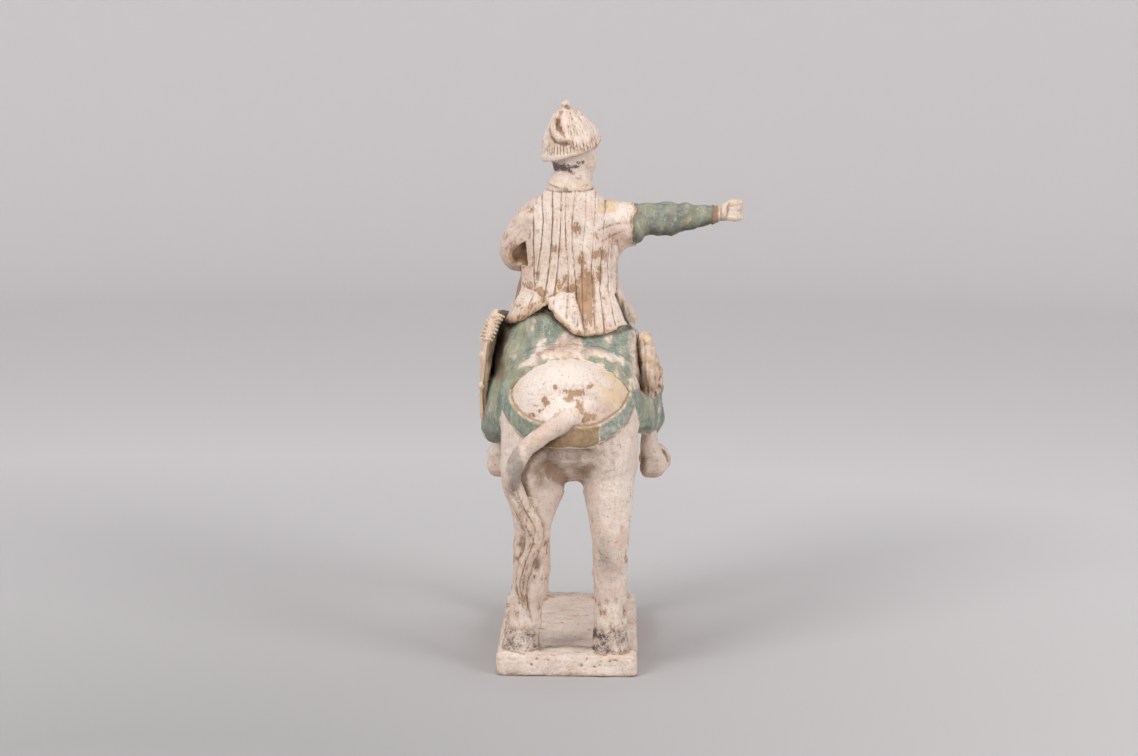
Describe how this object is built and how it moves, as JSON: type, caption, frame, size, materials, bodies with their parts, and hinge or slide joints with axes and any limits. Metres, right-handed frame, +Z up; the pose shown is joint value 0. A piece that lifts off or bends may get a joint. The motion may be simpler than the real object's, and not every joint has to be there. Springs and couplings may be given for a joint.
{
  "type": "horse and rider tomb figure",
  "caption": "Painted terracotta horse on a slab, with a seated rider in a ribbed hat pointing to one side, a bow case and a quiver at the flanks.",
  "frame": {"origin": "centre of the slab's underside", "axes": "+Z up; +Y the way the horse faces; +X to the rider's right, the way the outstretched arm points"},
  "size_m": [0.2276, 0.2955, 0.47],
  "materials": {
    "painted_terracotta": "unglazed clay with a flaking white slip and cold-painted green, amber and grey"
  },
  "bodies": {
    "root": {"horse_and_rider_figure": "painted_terracotta"}
  },
  "joints": []
}
